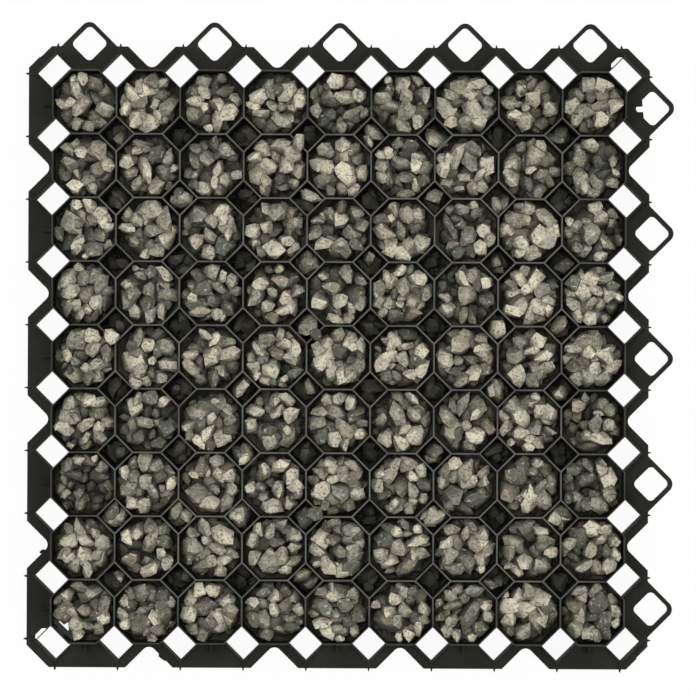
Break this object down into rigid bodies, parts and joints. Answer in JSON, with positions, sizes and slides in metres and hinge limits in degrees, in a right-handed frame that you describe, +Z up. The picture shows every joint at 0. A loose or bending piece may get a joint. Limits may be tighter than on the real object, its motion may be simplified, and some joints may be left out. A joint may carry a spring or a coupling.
{
  "type": "grass paver grid",
  "caption": "Interlocking black plastic paver grid with octagonal cells full of crushed stone, loops on two sides and raised plates on the other two",
  "frame": {"origin": "the middle of the square module, on the ground plane", "axes": "+X to the right towards the looped right side, +Y to the back towards the looped back side, +Z up"},
  "size_m": [0.5168, 0.5168, 0.0464],
  "materials": {
    "recycled_plastic": "moulded, matte with a slight sheen",
    "crushed_stone": "rough broken faces"
  },
  "bodies": {
    "root": {"paver_grid": "recycled_plastic", "cell_gravel": "crushed_stone", "pocket_gravel": "crushed_stone", "stray_stones": "crushed_stone"}
  },
  "joints": []
}
